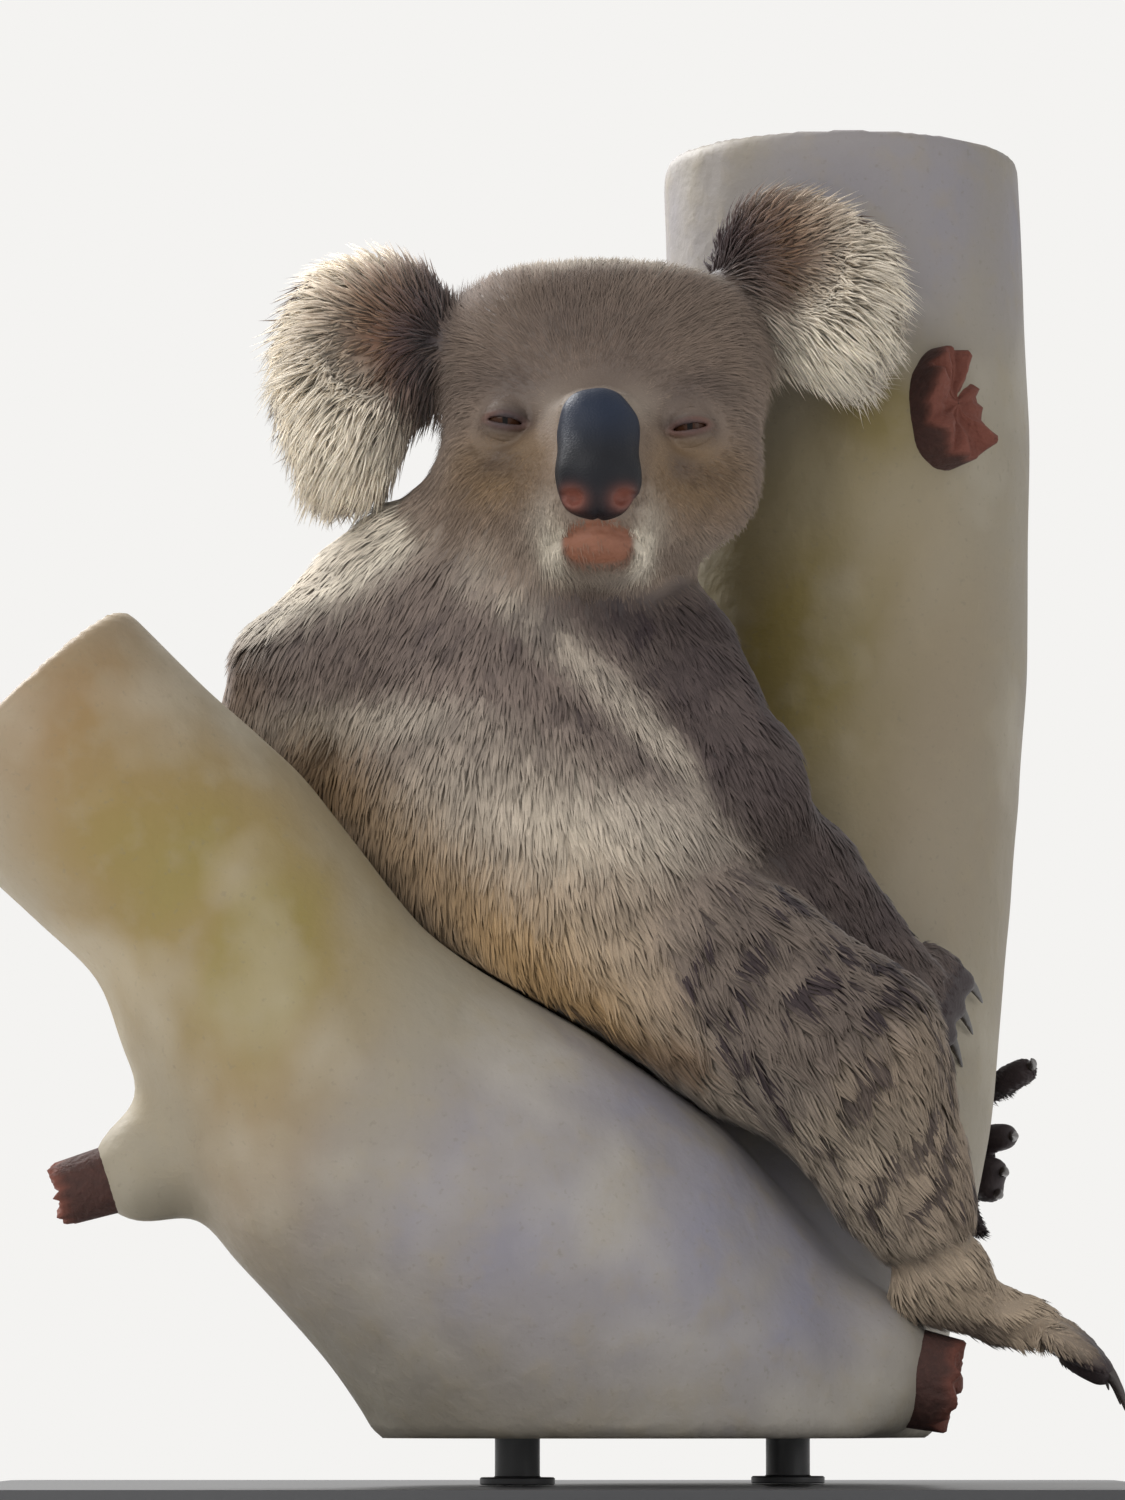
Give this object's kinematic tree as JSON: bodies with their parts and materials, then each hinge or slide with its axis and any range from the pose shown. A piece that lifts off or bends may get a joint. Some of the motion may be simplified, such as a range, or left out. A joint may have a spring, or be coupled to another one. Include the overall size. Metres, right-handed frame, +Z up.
{
  "type": "koala on a perch",
  "caption": "Life-size still model of a koala reclining in the fork of a smooth-barked gum tree, held on a flat base by two short rods.",
  "frame": {"origin": "centre of the underside of the stand's base", "axes": "+Z up, the koala faces -Y, and its own right side is at -X"},
  "size_m": [0.4947, 0.4092, 0.5882],
  "materials": {
    "grey_fur": "dense grey-brown fur",
    "pale_fur": "pale cream-grey fur",
    "nose": "bare black nose pad, slightly moist",
    "eye": "wet brown eye",
    "claw": "dark horn",
    "bark": "smooth pale gum bark",
    "dead_wood": "weathered red-brown broken wood",
    "stand": "satin dark grey paint"
  },
  "bodies": {
    "root": {"perch_trunk": "bark", "perch_fork": "bark", "perch_limb": "bark", "perch_stub_low": "dead_wood", "perch_stub_left": "dead_wood", "perch_stub_high": "dead_wood", "trunk": "pale_fur", "neck": "grey_fur", "eye_right": "eye", "eye_left": "eye", "nose": "nose", "head": "grey_fur", "ear_right": "pale_fur", "ear_left": "pale_fur", "thigh_right": "grey_fur", "shank_right": "grey_fur", "foot_right": "grey_fur", "claw_foot_right_1": "claw", "claw_foot_right_2": "claw", "claw_foot_right_3": "claw", "claw_foot_right_4": "claw", "thigh_left": "grey_fur", "shank_left": "grey_fur", "foot_left": "grey_fur", "claw_foot_left_1": "claw", "claw_foot_left_2": "claw", "claw_foot_left_3": "claw", "claw_foot_left_4": "claw", "upper_arm_right": "grey_fur", "forearm_right": "grey_fur", "hand_right": "grey_fur", "claw_hand_right_1": "claw", "claw_hand_right_2": "claw", "claw_hand_right_3": "claw", "claw_hand_right_4": "claw", "claw_hand_right_5": "claw", "upper_arm_left": "grey_fur", "forearm_left": "grey_fur", "hand_left": "grey_fur", "claw_hand_left_1": "claw", "claw_hand_left_2": "claw", "claw_hand_left_3": "claw", "claw_hand_left_4": "claw", "claw_hand_left_5": "claw", "stand_base": "stand", "stand_rod_1": "stand", "stand_rod_2": "stand"}
  },
  "joints": []
}
